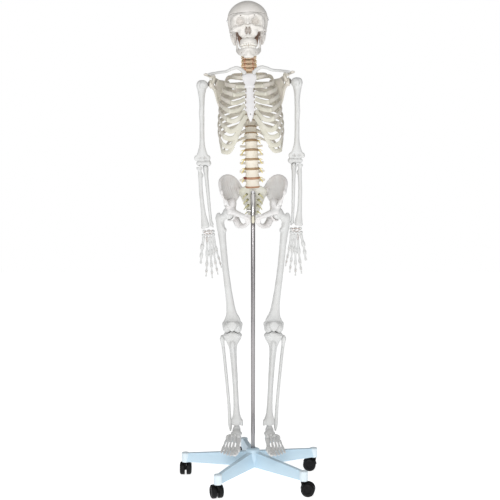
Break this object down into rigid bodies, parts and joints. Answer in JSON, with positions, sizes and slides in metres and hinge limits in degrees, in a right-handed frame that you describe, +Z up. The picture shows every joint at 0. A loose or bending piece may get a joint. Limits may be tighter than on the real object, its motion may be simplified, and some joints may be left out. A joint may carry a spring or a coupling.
{
  "type": "human skeleton model",
  "caption": "Life-size jointed teaching skeleton hung on a chrome pole over a pale blue five-leg rolling stand.",
  "frame": {"origin": "on the pole's axis at floor level, where the casters rest", "axes": "+Z up; the skeleton faces -Y; +X is the skeleton's left"},
  "size_m": [0.5377, 0.5564, 1.7998],
  "materials": {
    "bone": "moulded ivory-grey PVC, faintly mottled",
    "cartilage": "flexible beige plastic, satin",
    "disc": "soft brown plastic",
    "herniated_disc": "soft red-brown plastic",
    "nerve": "soft yellow plastic",
    "artery": "soft red plastic",
    "steel": "plated steel",
    "chrome": "chromed tube",
    "stand_plastic": "pale blue moulded plastic, satin",
    "caster_plastic": "black moulded nylon",
    "caster_wheel": "black twin wheels"
  },
  "bodies": {
    "stand_and_trunk": {"base_star": "stand_plastic", "pole": "chrome", "stand_fasteners": "steel", "pelvis_sleeve": "chrome", "cervical_vertebrae": "bone", "thoracic_vertebrae": "bone", "lumbar_vertebrae": "bone", "intervertebral_discs": "disc", "herniated_disc": "herniated_disc", "sacrum": "bone", "spinal_nerves": "nerve", "vertebral_arteries": "artery", "spine_rod": "steel", "sternum": "bone", "ribs_left": "bone", "ribs_right": "bone", "costal_cartilage_left": "cartilage", "costal_cartilage_right": "cartilage", "clavicle_left": "bone", "clavicle_right": "bone", "scapula_left": "bone", "scapula_right": "bone", "hip_bone_left": "bone", "hip_bone_right": "bone", "pubic_disc": "cartilage"},
    "caster_1": {"caster_fork_1": "caster_plastic"},
    "wheels_1": {"caster_wheels_1": "caster_wheel"},
    "caster_2": {"caster_fork_2": "caster_plastic"},
    "wheels_2": {"caster_wheels_2": "caster_wheel"},
    "caster_3": {"caster_fork_3": "caster_plastic"},
    "wheels_3": {"caster_wheels_3": "caster_wheel"},
    "caster_4": {"caster_fork_4": "caster_plastic"},
    "wheels_4": {"caster_wheels_4": "caster_wheel"},
    "caster_5": {"caster_fork_5": "caster_plastic"},
    "wheels_5": {"caster_wheels_5": "caster_wheel"},
    "head": {"skull_base": "bone", "brain_case_wall": "bone", "skull_hardware": "steel"},
    "skull_cap": {"skull_cap": "bone"},
    "jaw": {"mandible": "bone"},
    "shoulder_pivot_left": {"shoulder_swivel_left": "steel"},
    "upper_arm_left": {"humerus_left": "bone"},
    "forearm_left": {"ulna_left": "bone", "radius_left": "bone"},
    "hand_left": {"hand_left": "bone"},
    "shoulder_pivot_right": {"shoulder_swivel_right": "steel"},
    "upper_arm_right": {"humerus_right": "bone"},
    "forearm_right": {"ulna_right": "bone", "radius_right": "bone"},
    "hand_right": {"hand_right": "bone"},
    "thigh_left": {"femur_left": "bone", "patella_left": "bone"},
    "shank_left": {"tibia_left": "bone", "fibula_left": "bone"},
    "foot_left": {"foot_left": "bone"},
    "thigh_right": {"femur_right": "bone", "patella_right": "bone"},
    "shank_right": {"tibia_right": "bone", "fibula_right": "bone"},
    "foot_right": {"foot_right": "bone"}
  },
  "joints": [
    {"name": "caster_1_swivel", "type": "hinge", "parent": "stand_and_trunk", "child": "caster_1", "pos_m": [-0.03505, 0.26267, 0.06], "axis": [0, 0, 1], "continuous": true},
    {"name": "caster_1_roll", "type": "hinge", "parent": "caster_1", "child": "wheels_1", "pos_m": [-0.03216, 0.27841, 0.025], "axis": [-0.9836, 0.1805, 0], "continuous": true},
    {"name": "caster_2_swivel", "type": "hinge", "parent": "stand_and_trunk", "child": "caster_2", "pos_m": [-0.26065, 0.04784, 0.06], "axis": [0, 0, 1], "continuous": true},
    {"name": "caster_2_roll", "type": "hinge", "parent": "caster_2", "child": "wheels_2", "pos_m": [-0.26109, 0.06383, 0.025], "axis": [-0.9996, -0.0279, 0], "continuous": true},
    {"name": "caster_3_swivel", "type": "hinge", "parent": "stand_and_trunk", "child": "caster_3", "pos_m": [-0.12604, -0.23311, 0.06], "axis": [0, 0, 1], "continuous": true},
    {"name": "caster_3_roll", "type": "hinge", "parent": "caster_3", "child": "wheels_3", "pos_m": [-0.13088, -0.21786, 0.025], "axis": [-0.9532, -0.3024, 0], "continuous": true},
    {"name": "caster_4_swivel", "type": "hinge", "parent": "stand_and_trunk", "child": "caster_4", "pos_m": [0.18275, -0.19191, 0.06], "axis": [0, 0, 1], "continuous": true},
    {"name": "caster_4_roll", "type": "hinge", "parent": "caster_4", "child": "wheels_4", "pos_m": [0.19849, -0.19479, 0.025], "axis": [0.1805, 0.9836, 0], "continuous": true},
    {"name": "caster_5_swivel", "type": "hinge", "parent": "stand_and_trunk", "child": "caster_5", "pos_m": [0.23899, 0.1145, 0.06], "axis": [0, 0, 1], "continuous": true},
    {"name": "caster_5_roll", "type": "hinge", "parent": "caster_5", "child": "wheels_5", "pos_m": [0.22306, 0.11601, 0.025], "axis": [-0.0941, -0.9956, 0], "continuous": true},
    {"name": "head_turn", "type": "hinge", "parent": "stand_and_trunk", "child": "head", "pos_m": [-0.01744, 0.006, 1.64774], "axis": [-0.0297, 0, 0.9996], "range_deg": [-50, 50]},
    {"name": "skull_cap_lift", "type": "slide", "parent": "head", "child": "skull_cap", "axis": [-0.0297, 0, 0.9996], "range_m": [0, 0.09]},
    {"name": "jaw_open", "type": "hinge", "parent": "head", "child": "jaw", "pos_m": [-0.01833, -0.008, 1.67773], "axis": [0.9996, 0, 0.0297], "range_deg": [0, 18], "stiffness_Nm_per_rad": 0.6, "springref_deg": -11.46},
    {"name": "shoulder_side_left", "type": "hinge", "parent": "stand_and_trunk", "child": "shoulder_pivot_left", "pos_m": [0.16378, 0.012, 1.50806], "axis": [0, -1, 0], "range_deg": [0, 80]},
    {"name": "shoulder_swing_left", "type": "hinge", "parent": "shoulder_pivot_left", "child": "upper_arm_left", "pos_m": [0.16378, 0.012, 1.50806], "axis": [1, 0, 0], "range_deg": [-115, 45]},
    {"name": "elbow_left", "type": "hinge", "parent": "upper_arm_left", "child": "forearm_left", "pos_m": [0.16378, 0.012, 1.21306], "axis": [1, 0, 0], "range_deg": [-110, 0]},
    {"name": "wrist_left", "type": "hinge", "parent": "forearm_left", "child": "hand_left", "pos_m": [0.1595, 0.012, 0.96809], "axis": [-0.9998, 0, -0.0175], "range_deg": [-35, 50]},
    {"name": "shoulder_side_right", "type": "hinge", "parent": "stand_and_trunk", "child": "shoulder_pivot_right", "pos_m": [-0.19006, 0.012, 1.49755], "axis": [0, 1, 0], "range_deg": [0, 80]},
    {"name": "shoulder_swing_right", "type": "hinge", "parent": "shoulder_pivot_right", "child": "upper_arm_right", "pos_m": [-0.19006, 0.012, 1.49755], "axis": [1, 0, 0], "range_deg": [-115, 45]},
    {"name": "elbow_right", "type": "hinge", "parent": "upper_arm_right", "child": "forearm_right", "pos_m": [-0.19006, 0.012, 1.20255], "axis": [1, 0, 0], "range_deg": [-110, 0]},
    {"name": "wrist_right", "type": "hinge", "parent": "forearm_right", "child": "hand_right", "pos_m": [-0.16701, 0.012, 0.95864], "axis": [-0.9956, 0, 0.0941], "range_deg": [-35, 50]},
    {"name": "hip_left", "type": "hinge", "parent": "stand_and_trunk", "child": "thigh_left", "pos_m": [0.09, -0.008, 1.016], "axis": [-1, 0, 0], "range_deg": [-10, 85]},
    {"name": "knee_left", "type": "hinge", "parent": "thigh_left", "child": "shank_left", "pos_m": [0.078, -0.008, 0.586], "axis": [1, 0, 0], "range_deg": [0, 90]},
    {"name": "ankle_left", "type": "hinge", "parent": "shank_left", "child": "foot_left", "pos_m": [0.062, -0.008, 0.193], "axis": [-1, 0, 0], "range_deg": [-6, 20]},
    {"name": "hip_right", "type": "hinge", "parent": "stand_and_trunk", "child": "thigh_right", "pos_m": [-0.09, -0.008, 1.016], "axis": [-1, 0, 0], "range_deg": [-10, 85]},
    {"name": "knee_right", "type": "hinge", "parent": "thigh_right", "child": "shank_right", "pos_m": [-0.078, -0.008, 0.586], "axis": [1, 0, 0], "range_deg": [0, 90]},
    {"name": "ankle_right", "type": "hinge", "parent": "shank_right", "child": "foot_right", "pos_m": [-0.062, -0.008, 0.193], "axis": [-1, 0, 0], "range_deg": [-6, 20]}
  ]
}
